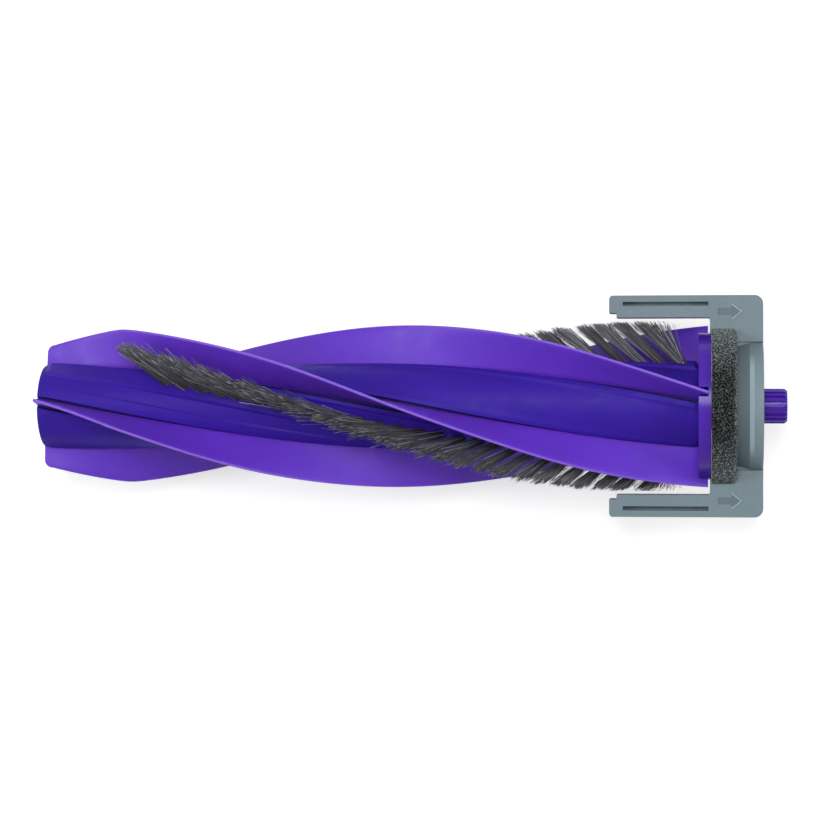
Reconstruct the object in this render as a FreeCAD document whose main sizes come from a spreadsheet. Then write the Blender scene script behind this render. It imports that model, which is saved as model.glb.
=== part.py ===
"""Roller brush of a robot vacuum cleaner, with the end frame that carries its drive end.

Frame: the brush axis is X. The origin is the centre of the idler bore's mouth at the free end,
+X runs to the drive end and +Z is up, which is the side with the domed bearing cap and the foam.
All lengths are in millimetres and all angles in degrees.
"""
import FreeCAD, Part
import math
import os

import Sketcher

SIZES = [
    # Helix that blades, lands and tufts share
    ("helix_lead", 507.0, "length along the axis in which the helix makes a full turn"),
    ("helix_phase", -6.2, "angle of the first blade at the free end, from +Y towards +Z"),
    # Core
    ("core_length", 244.8, "core from its free end to the drum"),
    ("core_radius", 15.5, "outside of the core"),
    ("core_hollow", 10.5, "hollow of the core, open towards the drum"),
    ("core_end_wall", 17.0, "solid free end of the core"),
    ("land_height", 16.3, "flat top of a tuft land, from the axis"),
    ("land_top", 7.6, "width of a tuft land at its top"),
    ("land_base", 10.4, "width of a tuft land at its root in the core"),
    ("land_root", 13.5, "root of a tuft land, from the axis"),
    ("land_inset", 2.0, "plain core in front of the lands at the free end"),
    ("land_end_gap", 0.5, "gap between the lands and the drum"),
    # Blades
    ("blade_radius", 30.1, "outer edge of a blade"),
    ("blade_root", 2.4, "thickness of a blade at its foot"),
    ("blade_waist", 1.6, "thickness of a blade where its foot runs out"),
    ("blade_middle", 1.35, "thickness of a blade where its lip begins"),
    ("blade_tip", 1.2, "thickness of a blade at its edge"),
    ("waist_radius", 20.4, "radius at which the foot runs out"),
    ("lip_radius", 25.2, "radius at which the lip begins"),
    ("bond_gap", 0.05, "bond line between a blade and the core"),
    ("nose_start", 20.6, "radius where a blade's end face starts to round off"),
    ("nose_middle", 22.2, "radius of the middle of the rounded nose"),
    ("nose_middle_length", 0.9, "distance of the middle of the nose from the free end"),
    ("nose_end", 23.2, "radius where the rounded nose meets the slope"),
    ("nose_length", 2.6, "length of the rounded nose"),
    ("slope_length", 31.0, "distance from the free end at which a blade is full height"),
    # Tufts
    ("row_offset", 30.0, "angle of a tuft row ahead of the blade beside it"),
    ("tuft_first", 48.9, "first tuft from the free end"),
    ("tuft_margin", 0.3, "least wall between the last tuft's hole and the core's end"),
    ("tuft_pitch", 7.29, "tuft to tuft along the axis"),
    ("tuft_lean", 48.0, "lean of a tuft towards the free end, from the radius"),
    ("tuft_skew", 28.8, "lean of a tuft towards the blade beside it, from the radius"),
    ("tuft_depth", 1.6, "anchored root of a tuft below the land"),
    ("tuft_reach", 31.8, "tips of the bristles, from the axis"),
    ("tuft_root_width", 2.6, "tuft where it is anchored"),
    ("tuft_tip_width", 4.6, "tuft at its flared tip"),
    ("tuft_clearance", 0.05, "play of a tuft in its hole"),
    # Idler bush
    ("idler_radius", 3.05, "bore that runs on the idler pin"),
    ("idler_wall", 2.4, "wall of the idler bush"),
    ("idler_length", 11.0, "length of the idler bush"),
    ("press_gap", 0.05, "gap drawn at a press fit"),
    # Drive hub
    ("hub_spigot", 14.0, "spigot of the drive hub in the core"),
    ("drum_radius", 27.0, "slotted drum that locates the blades"),
    ("drum_width", 4.6, "drum with the rim that closes its slots"),
    ("rim_width", 1.1, "thickness of the rim"),
    ("blade_slot", 3.4, "width of the drum's slots for the blade ends"),
    ("slot_floor", 15.3, "bottom of the drum's slots, from the axis"),
    ("end_gap", 0.1, "gap between a blade's end and the rim"),
    ("journal_radius", 6.6, "running journal of the hub"),
    ("running_gap", 0.05, "radial clearance of the journal in its bush"),
    ("spline_radius", 6.4, "outside of the drive spline"),
    ("spline_root", 5.6, "shaft under the spline's teeth and under the clip"),
    ("spline_teeth", 18, "teeth of the drive spline"),
    ("spline_tooth", 1.1, "width of a spline tooth"),
    ("spline_length", 8.8, "spline that stands out of the frame"),
    ("spline_bevel", 1.0, "length of the bevel at the teeth's ends"),
    # End frame
    ("side_gap", 0.3, "gap between the drum and the frame"),
    ("drum_sink", 0.5, "depth to which the drum is sunk in the crossbar"),
    ("frame_width", 19.2, "crossbar along the axis"),
    ("frame_depth", 14.0, "thickness of the frame"),
    ("frame_wall", 2.2, "moulded wall of the frame"),
    ("frame_corner", 3.2, "rounded outer corners of the crossbar"),
    ("arm_length", 36.7, "arms in front of the crossbar"),
    ("arm_clearance", 0.6, "gap between the bristles' tips and an arm"),
    ("arm_width", 8.1, "width of an arm"),
    ("arm_step", 1.7, "step in the inner face at an arm's tip"),
    ("arm_step_length", 2.7, "length of the stepped tip"),
    ("arm_corner", 1.4, "rounded outer corner of an arm's tip"),
    ("root_corner", 0.6, "rounded corner between an arm and the crossbar"),
    ("groove_inset", 4.2, "strip of an arm inside its long groove"),
    ("groove_width", 1.5, "long groove in an arm's upper face"),
    ("groove_depth", 4.5, "depth of the long groove"),
    ("groove_front", 5.0, "plain tip in front of the long groove"),
    ("groove_back", 0.6, "distance of the long groove from the crossbar"),
    ("boss_wall", 3.4, "wall of the bearing boss"),
    # Bearing
    ("bush_wall", 2.4, "wall of the bearing bush"),
    ("thrust_play", 0.15, "end play between the drum and the bush's end"),
    ("clip_half", 7.0, "half of the square retaining clip"),
    ("clip_width", 1.0, "thickness of the retaining clip"),
    ("clip_play", 0.15, "end play between the clip and the bush's end"),
    ("clip_side_gap", 0.05, "gap at each side of the clip in its groove"),
    ("clip_mouth", 9.6, "mouth through which the clip snaps on"),
    ("clip_pocket", 2.4, "depth of the pocket that hides the clip"),
    ("pocket_gap", 0.4, "room round the clip's corners in its pocket"),
    # Bearing cap and foam
    ("cap_radius", 24.1, "outside of the domed bearing cap"),
    ("cap_step", 1.6, "step down from the cap to its nose"),
    ("cap_bevel", 1.6, "length of the bevel at that step"),
    ("cap_nose", 3.4, "length of the cap's nose"),
    ("cap_wall", 2.2, "wall of the cap"),
    ("cap_gap", 0.2, "gap between the cap and the boss"),
    ("foam_height", 5.0, "thickness of the foam seal"),
    ("foam_width", 8.8, "width of the foam seal"),
    ("foam_gap", 0.1, "glue line under the foam"),
]

BLADES = 4
ROWS = 2
CUT_MARGIN = 5.0
POINT_TOLERANCE = 0.01

doc = FreeCAD.newDocument("roller_brush")
sheet = doc.addObject("Spreadsheet::Sheet", "Sizes")


class Size:
    """A length or angle that knows its number and the formula that gives it."""

    def __init__(self, text, value):
        self.text = text
        self.value = value

    def joined(self, sign, other, value):
        text = other.text if isinstance(other, Size) else repr(other)
        return Size("(%s %s %s)" % (self.text, sign, text), value)

    def __add__(self, other):
        return self.joined("+", other, self.value + number(other))

    def __sub__(self, other):
        return self.joined("-", other, self.value - number(other))

    def __mul__(self, other):
        return self.joined("*", other, self.value * number(other))

    def __truediv__(self, other):
        return self.joined("/", other, self.value / number(other))

    def __neg__(self):
        return Size("(0 - %s)" % self.text, -self.value)


def number(size):
    return size.value if isinstance(size, Size) else size


def helix_turn(station):
    """Angle through which the helix has turned at a station."""
    return station * 360.0 / S["helix_lead"]


def fill_sheet():
    """Write the driving dimensions to the sheet and return them by name."""
    for row, (alias, value, note) in enumerate(SIZES, start=1):
        sheet.set("A%d" % row, alias)
        sheet.set("B%d" % row, str(value))
        sheet.set("C%d" % row, note)
        sheet.setAlias("B%d" % row, alias)
    doc.recompute()
    return {alias: Size("Sizes.%s" % alias, float(sheet.get(alias))) for alias, value, note in SIZES}


S = fill_sheet()

# Stations along the axis, and the frame's faces beside it
CORE_END = S["core_length"]
DRUM_BACK = CORE_END + S["drum_width"]
SLOT_DEPTH = S["drum_width"] - S["rim_width"]
BLADE_END = CORE_END + SLOT_DEPTH - S["end_gap"]
CAP_IN = DRUM_BACK + S["side_gap"]
FRAME_IN = DRUM_BACK - S["drum_sink"]
FRAME_OUT = FRAME_IN + S["frame_width"]
BUSH_IN = DRUM_BACK + S["thrust_play"]
BUSH_OUT = FRAME_OUT - S["clip_pocket"]
CLIP_IN = BUSH_OUT + S["clip_play"]
GROOVE_OUT = CLIP_IN + S["clip_width"] + S["clip_side_gap"]
SPLINE_END = FRAME_OUT + S["spline_length"]
ARM_TIP = FRAME_IN - S["arm_length"]
ARM_INSIDE = S["tuft_reach"] + S["arm_clearance"]
FRAME_SIDE = ARM_INSIDE + S["arm_width"]

# Radii and heights that pieces share
BLADE_FOOT = S["core_radius"] + S["bond_gap"]
IDLER_OUTSIDE = S["idler_radius"] + S["idler_wall"]
BUSH_BORE = S["journal_radius"] + S["running_gap"]
BUSH_OUTSIDE = BUSH_BORE + S["bush_wall"]
BOSS = BUSH_OUTSIDE + S["boss_wall"]
SEAT = S["frame_depth"] / 2
FOAM_INSIDE = S["cap_radius"] + S["foam_gap"]
FOAM_OUTSIDE = FOAM_INSIDE + S["foam_height"]


def bind(thing, property_name, size):
    """Tie a property of a document object to the sheet."""
    thing.setExpression(property_name, size.text if isinstance(size, Size) else repr(size))


def new_body(label):
    body = doc.addObject("PartDesign::Body", label)
    body.Label = label
    return body


def turn_body(body, angle):
    """Turn a whole sub-part about the brush axis."""
    turn = FreeCAD.Rotation(FreeCAD.Vector(1, 0, 0), angle.value)
    body.Placement = FreeCAD.Placement(FreeCAD.Vector(), turn)
    bind(body, "Placement.Rotation.Angle", angle)


def new_sketch(body, name, role, offset=None, turn=None):
    """A sketch on one of the body's own planes, shifted along and turned about the plane's normal."""
    sketch = body.newObject("Sketcher::SketchObject", name)
    plane = [feature for feature in body.Origin.OriginFeatures if feature.Role == role][0]
    sketch.AttachmentSupport = [(plane, "")]
    sketch.MapMode = "FlatFace"
    if turn is not None:
        about_normal = FreeCAD.Rotation(FreeCAD.Vector(0, 0, 1), turn.value)
        sketch.AttachmentOffset = FreeCAD.Placement(FreeCAD.Vector(), about_normal)
        bind(sketch, "AttachmentOffset.Rotation.Angle", turn)
    if offset is not None:
        bind(sketch, "AttachmentOffset.Base.z", offset)
    return sketch


def pin_corner(sketch, edge, corner):
    """Hold the start of an edge at a corner given by two sizes; a plain 0 puts it on the axis."""
    for kind, axis_line, size in (("DistanceX", -2, corner[0]), ("DistanceY", -1, corner[1])):
        if isinstance(size, Size):
            index = sketch.addConstraint(Sketcher.Constraint(kind, -1, 1, edge, 1, size.value))
            bind(sketch, "Constraints[%d]" % index, size)
        else:
            sketch.addConstraint(Sketcher.Constraint("PointOnObject", edge, 1, axis_line))


def draw_outline(sketch, corners):
    """Draw a closed outline of straight edges through the corners."""
    points = [FreeCAD.Vector(number(x), number(y), 0) for x, y in corners]
    following = points[1:] + points[:1]
    edges = [sketch.addGeometry(Part.LineSegment(start, end)) for start, end in zip(points, following)]
    for edge, next_edge, corner in zip(edges, edges[1:] + edges[:1], corners):
        sketch.addConstraint(Sketcher.Constraint("Coincident", edge, 2, next_edge, 1))
        pin_corner(sketch, edge, corner)


def draw_circle(sketch, radius):
    """Draw a circle about the sketch's origin."""
    edge = sketch.addGeometry(Part.Circle(FreeCAD.Vector(), FreeCAD.Vector(0, 0, 1), radius.value))
    sketch.addConstraint(Sketcher.Constraint("Coincident", edge, 3, -1, 1))
    index = sketch.addConstraint(Sketcher.Constraint("Radius", edge, radius.value))
    bind(sketch, "Constraints[%d]" % index, radius)


def box_corners(low_x, high_x, low_y, high_y):
    return [(low_x, low_y), (high_x, low_y), (high_x, high_y), (low_x, high_y)]


def revolve(body, name, corners, kind="PartDesign::Revolution"):
    """Turn an outline of (station, radius) corners about the brush axis."""
    sketch = new_sketch(body, name + "_profile", "XY_Plane")
    draw_outline(sketch, corners)
    feature = body.newObject(kind, name)
    feature.Profile = sketch
    feature.ReferenceAxis = (sketch, ["H_Axis"])
    feature.Angle = 360
    return feature


def pad(body, name, sketch, length, midplane=False):
    feature = body.newObject("PartDesign::Pad", name)
    feature.Profile = sketch
    feature.Midplane = midplane
    bind(feature, "Length", length)
    return feature


def pocket(body, name, sketch, depth, along_normal):
    """Cut a sketch into the body, along its plane's normal or against it, and make sure that it cut."""
    doc.recompute()
    before = body.Shape.Volume
    feature = body.newObject("PartDesign::Pocket", name)
    feature.Profile = sketch
    feature.Reversed = along_normal
    bind(feature, "Length", depth)
    doc.recompute()
    if body.Shape.Volume >= before:
        raise RuntimeError(name + " cuts nothing")
    return feature


def spin_pattern(body, name, feature, sketch, count, axis="N_Axis"):
    """Repeat a feature round the brush axis, which is one of its sketch's own axes."""
    pattern = body.newObject("PartDesign::PolarPattern", name)
    pattern.Originals = [feature]
    pattern.Axis = (sketch, [axis])
    pattern.Angle = 360
    bind(pattern, "Occurrences", count)
    body.Tip = pattern
    return pattern


def screw_sweep(body, name, sketch, length):
    """Sweep a cross-section along the axis while it turns with the brush's helix."""
    feature = body.newObject("PartDesign::AdditiveHelix", name)
    feature.Profile = sketch
    feature.ReferenceAxis = (sketch, ["N_Axis"])
    feature.Mode = 0
    feature.LeftHanded = False
    bind(feature, "Pitch", S["helix_lead"])
    bind(feature, "Height", length)
    return feature


def round_uprights(body, name, radius, station, side):
    """Round the pair of upright edges at one corner of the frame's plan and its mirror image."""
    doc.recompute()
    base = body.Tip
    names = []
    for index, edge in enumerate(base.Shape.Edges, start=1):
        middle = edge.CenterOfMass
        upright = edge.BoundBox.ZLength > 0.999 * edge.BoundBox.DiagonalLength
        if upright and math.hypot(middle.x - station.value, abs(middle.y) - side.value) < POINT_TOLERANCE:
            names.append("Edge%d" % index)
    feature = body.newObject("PartDesign::Fillet", name)
    feature.Base = (base, names)
    bind(feature, "Radius", radius)
    return feature


def make_core_blank():
    """Moulded core with a helical land for each tuft row, hollow from the drive end."""
    body = new_body("core_blank")
    outside = new_sketch(body, "core_section", "YZ_Plane")
    draw_circle(outside, S["core_radius"])
    pad(body, "core_rod", outside, S["core_length"])
    hollow = new_sketch(body, "hollow_section", "YZ_Plane", CORE_END)
    draw_circle(hollow, S["core_hollow"])
    pocket(body, "core_hollow", hollow, S["core_length"] - S["core_end_wall"], False)
    bush_seat = new_sketch(body, "bush_seat_section", "YZ_Plane")
    draw_circle(bush_seat, IDLER_OUTSIDE + S["press_gap"])
    pocket(body, "bush_seat", bush_seat, S["idler_length"], True)
    turn = helix_turn(S["land_inset"]) + S["row_offset"]
    section = new_sketch(body, "land_section", "YZ_Plane", S["land_inset"], turn)
    half_base = S["land_base"] / 2
    half_top = S["land_top"] / 2
    draw_outline(section, [
        (S["land_root"], -half_base),
        (S["land_height"], -half_top),
        (S["land_height"], half_top),
        (S["land_root"], half_base),
    ])
    land = screw_sweep(body, "land", section, CORE_END - S["land_end_gap"] - S["land_inset"])
    spin_pattern(body, "lands", land, section, ROWS)
    turn_body(body, S["helix_phase"])
    return body


def make_blade(index):
    """One helical blade, thicker at its foot, whose free end slopes down to a rounded nose."""
    mark = "_%d" % (index + 1)
    body = new_body("blade" + mark)
    section = new_sketch(body, "blade_section" + mark, "YZ_Plane")
    half_root = S["blade_root"] / 2
    half_waist = S["blade_waist"] / 2
    half_middle = S["blade_middle"] / 2
    half_tip = S["blade_tip"] / 2
    draw_outline(section, [
        (BLADE_FOOT, -half_root),
        (S["waist_radius"], -half_waist),
        (S["lip_radius"], -half_middle),
        (S["blade_radius"], -half_tip),
        (S["blade_radius"], half_tip),
        (S["lip_radius"], half_middle),
        (S["waist_radius"], half_waist),
        (BLADE_FOOT, half_root),
    ])
    screw_sweep(body, "blade_sweep" + mark, section, BLADE_END)
    over = S["blade_radius"] + CUT_MARGIN
    revolve(body, "nose" + mark, [
        (-S["nose_length"], over),
        (-S["nose_length"], S["nose_start"]),
        (0, S["nose_start"]),
        (S["nose_middle_length"], S["nose_middle"]),
        (S["nose_length"], S["nose_end"]),
        (S["slope_length"], S["blade_radius"]),
        (S["slope_length"], over),
    ], "PartDesign::Groove")
    turn_body(body, S["helix_phase"] + 360.0 / BLADES * index)
    return body


def slope(name):
    """Sideways shift for each millimetre of rise, of something that leans by an angle of the sheet."""
    return Size("tan(Sizes.%s)" % name, math.tan(math.radians(S[name].value)))


def square_root(size):
    return Size("sqrt(%s)" % size.text, math.sqrt(size.value))


def along_axis(width):
    """Length along the axis that a leaning tuft or hole of that width takes up."""
    return Size("(%s / cos(Sizes.tuft_lean))" % width.text,
                width.value / math.cos(math.radians(S["tuft_lean"].value)))


def tuft_rise():
    """Height of a tuft above its land at which the outermost corner of its trimmed tip is at its reach."""
    half_tip = S["tuft_tip_width"] / 2
    skew = slope("tuft_skew")
    stretch = skew * skew + 1.0
    foot = S["land_height"] + skew * half_tip
    room = S["tuft_reach"] * S["tuft_reach"] - S["land_height"] * S["land_height"] - half_tip * half_tip
    return (square_root(foot * foot + stretch * room) - foot) / stretch


def hole_width():
    """Width of a tuft's hole: the tuft is no wider than that anywhere inside it."""
    flare = (S["tuft_tip_width"] - S["tuft_root_width"]) / (tuft_rise() + S["tuft_depth"])
    return S["tuft_root_width"] + flare * S["tuft_depth"] + S["tuft_clearance"] * 2


def leaning_block(name, low, high, low_width, high_width):
    """A block that stands along Y between two levels, and leans towards the free end and a blade."""
    block = doc.addObject("Part::Wedge", name)
    bind(block, "Ymin", low)
    bind(block, "Ymax", high)
    for mark, level, width in (("", low, low_width), ("2", high, high_width)):
        middle = -slope("tuft_lean") * level
        aside = -slope("tuft_skew") * level
        half_length = along_axis(width) / 2
        bind(block, "X%smin" % mark, middle - half_length)
        bind(block, "X%smax" % mark, middle + half_length)
        bind(block, "Z%smin" % mark, aside - width / 2)
        bind(block, "Z%smax" % mark, aside + width / 2)
    return block


def make_tuft():
    """One tuft: a bundle that flares from its anchored root to its trimmed tip."""
    return leaning_block("tuft", -S["tuft_depth"], tuft_rise(), S["tuft_root_width"], S["tuft_tip_width"])


def make_tuft_hole():
    """The hole that takes one tuft."""
    floor = -S["tuft_depth"] - S["tuft_clearance"]
    return leaning_block("tuft_hole", floor, S["tuft_depth"], hole_width(), hole_width())


def last_tuft():
    """Farthest station at which a tuft's leaning hole still has a wall between it and the drum."""
    hole_drift = slope("tuft_lean") * (S["tuft_depth"] + S["tuft_clearance"])
    hole_half = along_axis(hole_width()) / 2
    return CORE_END - S["tuft_margin"] - hole_drift - hole_half


def tuft_places(row):
    """Placement of each tuft of a row on its land."""
    count = int((last_tuft() - S["tuft_first"]).value / S["tuft_pitch"].value) + 1
    stand = FreeCAD.Placement(FreeCAD.Vector(0, S["land_height"].value, 0), FreeCAD.Rotation())
    places = []
    for index in range(count):
        station = S["tuft_first"] + S["tuft_pitch"] * index
        angle = S["helix_phase"] + helix_turn(station) + S["row_offset"] + 360.0 / ROWS * row
        around = FreeCAD.Rotation(FreeCAD.Vector(1, 0, 0), angle.value)
        foot = FreeCAD.Placement(FreeCAD.Vector(station.value, 0, 0), around)
        places.append(foot.multiply(stand))
    return places


def copies_at(shape, places):
    """A group of separate copies of one solid."""
    copies = []
    for place in places:
        copy = shape.copy()
        copy.Placement = place.multiply(shape.Placement)
        copies.append(copy)
    return Part.makeCompound(copies)


def make_bristle_row(row, tuft):
    label = "bristle_row_%d" % (row + 1)
    feature = doc.addObject("Part::Feature", label)
    feature.Label = label
    feature.Shape = copies_at(tuft.Shape, tuft_places(row))
    return feature


def drill_core(blank, hole):
    """The core with one hole for every tuft."""
    drill = doc.addObject("Part::Feature", "tuft_drill")
    places = [place for row in range(ROWS) for place in tuft_places(row)]
    drill.Shape = copies_at(hole.Shape, places)
    core = doc.addObject("Part::Cut", "brush_core")
    core.Label = "brush_core"
    core.Base = blank
    core.Tool = drill
    return core


def make_idler_bush():
    """Sleeve in the free end that runs on the idler pin."""
    body = new_body("idler_bush")
    revolve(body, "idler_sleeve", box_corners(0, S["idler_length"], S["idler_radius"], IDLER_OUTSIDE))
    return body


def make_drive_hub():
    """Slotted drum, journal and drive spline in one moulding."""
    body = new_body("drive_hub")
    spigot = S["core_hollow"] - S["press_gap"]
    journal_end = CLIP_IN - S["clip_side_gap"]
    revolve(body, "hub_turned", [
        (CORE_END - S["hub_spigot"], 0),
        (CORE_END - S["hub_spigot"], spigot),
        (CORE_END, spigot),
        (CORE_END, S["drum_radius"]),
        (DRUM_BACK, S["drum_radius"]),
        (DRUM_BACK, S["journal_radius"]),
        (journal_end, S["journal_radius"]),
        (journal_end, S["spline_root"]),
        (SPLINE_END, S["spline_root"]),
        (SPLINE_END, 0),
    ])
    slot = new_sketch(body, "blade_slot_section", "YZ_Plane", CORE_END)
    half = S["blade_slot"] / 2
    draw_outline(slot, box_corners(S["slot_floor"], S["drum_radius"] + CUT_MARGIN, -half, half))
    blade_slot = pocket(body, "blade_slot_cut", slot, SLOT_DEPTH, True)
    spin_pattern(body, "blade_slots", blade_slot, slot, BLADES)
    tooth_side = new_sketch(body, "spline_tooth_side", "XY_Plane")
    sunk = S["spline_root"] - S["spline_tooth"] / 2
    draw_outline(tooth_side, [
        (GROOVE_OUT, sunk),
        (SPLINE_END, sunk),
        (SPLINE_END, S["spline_root"]),
        (SPLINE_END - S["spline_bevel"], S["spline_radius"]),
        (GROOVE_OUT, S["spline_radius"]),
    ])
    tooth = pad(body, "spline_tooth", tooth_side, S["spline_tooth"], True)
    spin_pattern(body, "spline_teeth", tooth, tooth_side, S["spline_teeth"], "H_Axis")
    turn_body(body, S["helix_phase"] + helix_turn(CORE_END + SLOT_DEPTH / 2))
    return body


def make_retaining_clip():
    """Stamped clip that snaps on between the journal and the spline, open at one side."""
    body = new_body("retaining_clip")
    half = S["clip_half"]
    section = new_sketch(body, "clip_section", "YZ_Plane", CLIP_IN)
    draw_outline(section, box_corners(-half, half, -half, half))
    draw_circle(section, S["spline_root"] + S["clip_side_gap"])
    pad(body, "clip_plate", section, S["clip_width"])
    mouth = new_sketch(body, "clip_mouth_section", "YZ_Plane", CLIP_IN)
    half_mouth = S["clip_mouth"] / 2
    draw_outline(mouth, box_corners(0, half + CUT_MARGIN, -half_mouth, half_mouth))
    pocket(body, "clip_mouth_cut", mouth, S["clip_width"], True)
    return body


def mirrored_boxes(sketch, low_x, high_x, low_y, high_y):
    """Draw a box on each side of the frame's middle."""
    draw_outline(sketch, box_corners(low_x, high_x, low_y, high_y))
    draw_outline(sketch, box_corners(low_x, high_x, -high_y, -low_y))


def make_end_frame():
    """Fork with a crossbar cored out from below, two grooved arms and a bored bearing boss."""
    body = new_body("end_frame")
    tip = ARM_INSIDE + S["arm_step"]
    shoulder = ARM_TIP + S["arm_step_length"]
    plan = new_sketch(body, "fork_plan", "XY_Plane")
    draw_outline(plan, [
        (ARM_TIP, FRAME_SIDE), (ARM_TIP, tip), (shoulder, tip), (shoulder, ARM_INSIDE),
        (FRAME_IN, ARM_INSIDE), (FRAME_IN, -ARM_INSIDE),
        (shoulder, -ARM_INSIDE), (shoulder, -tip), (ARM_TIP, -tip), (ARM_TIP, -FRAME_SIDE),
        (FRAME_OUT, -FRAME_SIDE), (FRAME_OUT, FRAME_SIDE),
    ])
    pad(body, "fork", plan, S["frame_depth"], True)
    round_uprights(body, "crossbar_corners", S["frame_corner"], FRAME_OUT, FRAME_SIDE)
    round_uprights(body, "arm_corners", S["arm_corner"], ARM_TIP, FRAME_SIDE)
    round_uprights(body, "root_corners", S["root_corner"], FRAME_IN, ARM_INSIDE)
    grooves = new_sketch(body, "groove_plan", "XY_Plane", SEAT)
    groove_low = ARM_INSIDE + S["groove_inset"]
    mirrored_boxes(grooves, ARM_TIP + S["groove_front"], FRAME_IN - S["groove_back"],
                   groove_low, groove_low + S["groove_width"])
    pocket(body, "arm_grooves", grooves, S["groove_depth"], False)
    coring = new_sketch(body, "coring_plan", "XY_Plane", -SEAT)
    wall = S["frame_wall"]
    mirrored_boxes(coring, FRAME_IN + wall, FRAME_OUT - wall, BOSS + wall, FRAME_SIDE - wall)
    pocket(body, "coring", coring, S["frame_depth"] - wall, True)
    boss = new_sketch(body, "boss_section", "YZ_Plane", FRAME_IN)
    draw_circle(boss, BOSS)
    pad(body, "bearing_boss", boss, S["frame_width"])
    bush_seat = BUSH_OUTSIDE + S["press_gap"]
    clip_pocket = S["clip_half"] * math.sqrt(2) + S["pocket_gap"]
    drum_room = S["drum_radius"] + S["side_gap"]
    revolve(body, "bearing_bore", [
        (FRAME_IN - S["side_gap"], 0),
        (FRAME_OUT + S["side_gap"], 0),
        (FRAME_OUT + S["side_gap"], clip_pocket),
        (BUSH_OUT, clip_pocket),
        (BUSH_OUT, bush_seat),
        (CAP_IN, bush_seat),
        (CAP_IN, drum_room),
        (FRAME_IN - S["side_gap"], drum_room),
    ], "PartDesign::Groove")
    return body


def make_bearing_bush():
    """Plain bush that carries the journal and takes the end thrust of the drum and the clip."""
    body = new_body("bearing_bush")
    revolve(body, "bush_sleeve", box_corners(BUSH_IN, BUSH_OUT, BUSH_BORE, BUSH_OUTSIDE))
    return body


def trim_below(body, name, level):
    """Cut away all of a turned shell that lies below a level."""
    section = new_sketch(body, name + "_section", "YZ_Plane", FRAME_IN)
    reach = FOAM_OUTSIDE + CUT_MARGIN
    draw_outline(section, box_corners(-reach, reach, -reach, level))
    return pocket(body, name, section, S["frame_width"] + S["side_gap"], True)


def make_bearing_cap():
    """Domed cap over the bearing, with a bevelled end, open towards the drum."""
    body = new_body("bearing_cap")
    nose = FRAME_OUT - S["cap_nose"]
    bevel = nose - S["cap_bevel"]
    bore = BOSS + S["cap_gap"]
    inside = S["cap_radius"] - S["cap_wall"]
    end_wall = bevel - S["cap_wall"] / 2
    revolve(body, "cap_turned", [
        (CAP_IN, S["cap_radius"]),
        (CAP_IN, inside),
        (end_wall, inside),
        (end_wall, bore),
        (FRAME_OUT, bore),
        (FRAME_OUT, S["cap_radius"] - S["cap_step"]),
        (nose, S["cap_radius"] - S["cap_step"]),
        (bevel, S["cap_radius"]),
    ])
    trim_below(body, "cap_seat", SEAT)
    return body


def make_foam_seal():
    """Foam strip bent over the cap."""
    body = new_body("foam_seal")
    start = CAP_IN + S["foam_gap"]
    revolve(body, "foam_strip", box_corners(start, start + S["foam_width"], FOAM_INSIDE, FOAM_OUTSIDE))
    trim_below(body, "foam_seat", SEAT + S["foam_gap"])
    return body


def make_parts():
    """Build every sub-part and return them in the order of assembly."""
    tuft = make_tuft()
    hole = make_tuft_hole()
    blank = make_core_blank()
    doc.recompute()
    parts = [drill_core(blank, hole)]
    parts += [make_blade(index) for index in range(BLADES)]
    parts += [make_bristle_row(row, tuft) for row in range(ROWS)]
    parts += [make_idler_bush(), make_drive_hub(), make_retaining_clip()]
    parts += [make_end_frame(), make_bearing_bush(), make_bearing_cap(), make_foam_seal()]
    doc.recompute()
    return parts


def check(parts):
    """Stop if any feature failed or any sub-part isn't a sound solid."""
    for feature in doc.Objects:
        if "Invalid" in feature.State or "Error" in feature.State:
            raise RuntimeError("%s failed: %s" % (feature.Name, feature.State))
    for part in parts:
        if part.Shape.isNull() or not part.Shape.isValid() or not part.Shape.Solids:
            raise RuntimeError(part.Label + " isn't a valid solid")


def write(parts):
    os.makedirs("parts", exist_ok=True)
    for part in parts:
        part.Shape.exportStep("parts/%s.step" % part.Label)
        print(part.Label, len(part.Shape.Solids), round(part.Shape.Volume, 1))


PARTS = make_parts()
check(PARTS)
write(PARTS)
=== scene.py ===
"""Looks of a robot vacuum roller brush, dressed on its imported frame.

A bladed brush with two rows of leaning bristles turns in a fork-shaped end frame with a foam-sealed bearing cap.
Lengths are in metres. Angles are in degrees and run from +Y towards +Z, about the brush axis X.
"""

import logging
import math
from dataclasses import dataclass
from enum import Enum
from functools import partialmethod
from typing import Any, Callable, Dict, List, Sequence, Tuple, Union

import bmesh
import bpy
import numpy as np
from bpy.types import ID, Material, Mesh, MeshPolygon, Node, NodeSocket, NodeTree, Object
from mathutils import Matrix, Vector, noise


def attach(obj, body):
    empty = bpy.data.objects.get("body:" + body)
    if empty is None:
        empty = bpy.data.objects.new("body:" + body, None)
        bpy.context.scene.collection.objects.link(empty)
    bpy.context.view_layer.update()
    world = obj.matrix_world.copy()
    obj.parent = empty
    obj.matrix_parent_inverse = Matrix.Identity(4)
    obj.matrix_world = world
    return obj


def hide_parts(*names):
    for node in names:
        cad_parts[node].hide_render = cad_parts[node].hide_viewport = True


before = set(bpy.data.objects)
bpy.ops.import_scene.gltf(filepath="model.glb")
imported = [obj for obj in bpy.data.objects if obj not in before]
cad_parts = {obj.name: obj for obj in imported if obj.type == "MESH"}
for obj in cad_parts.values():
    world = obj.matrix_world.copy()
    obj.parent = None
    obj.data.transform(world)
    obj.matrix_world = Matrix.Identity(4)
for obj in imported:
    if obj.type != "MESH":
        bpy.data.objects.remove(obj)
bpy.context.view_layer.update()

MM = 0.001
MERGE_DISTANCE = 2e-6
FLAT_ANGLE = 0.4
SHARP_ANGLE = 40.0
LOG = logging.getLogger("roller_brush")

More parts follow.
